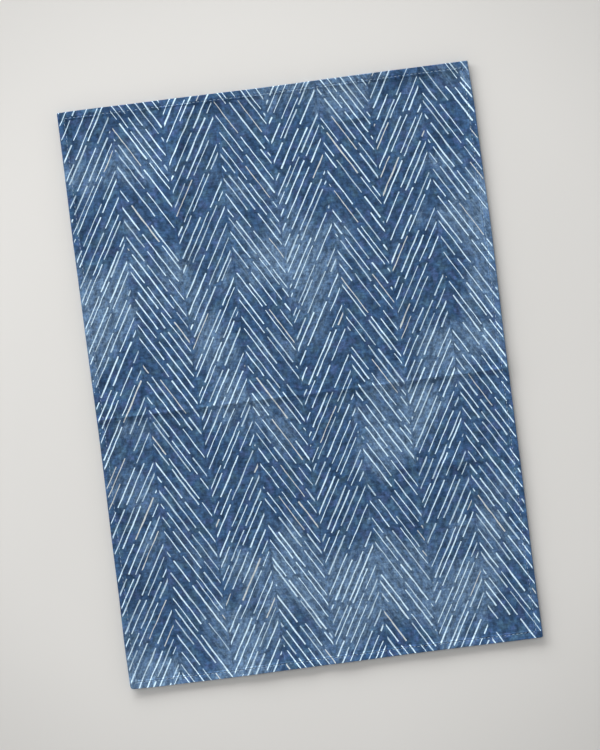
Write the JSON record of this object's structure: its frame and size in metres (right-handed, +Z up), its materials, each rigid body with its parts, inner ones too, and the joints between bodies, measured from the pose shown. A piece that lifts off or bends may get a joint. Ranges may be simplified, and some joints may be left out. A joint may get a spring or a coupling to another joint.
{
  "type": "tea towel",
  "caption": "Rectangular cotton tea towel lying flat, with hemmed edges, faint storage creases and a slightly uneven outline.",
  "frame": {"origin": "middle of the towel's box, on the surface that the towel lies on", "axes": "+X along a short side, +Y along a long side towards the top hem, +Z up through the cloth's face"},
  "size_m": [0.5014, 0.7002, 0.0061],
  "materials": {
    "blue_cotton": "matt plain-woven cotton, mid denim blue with fine pale strokes"
  },
  "bodies": {
    "root": {"towel": "blue_cotton"}
  },
  "joints": []
}
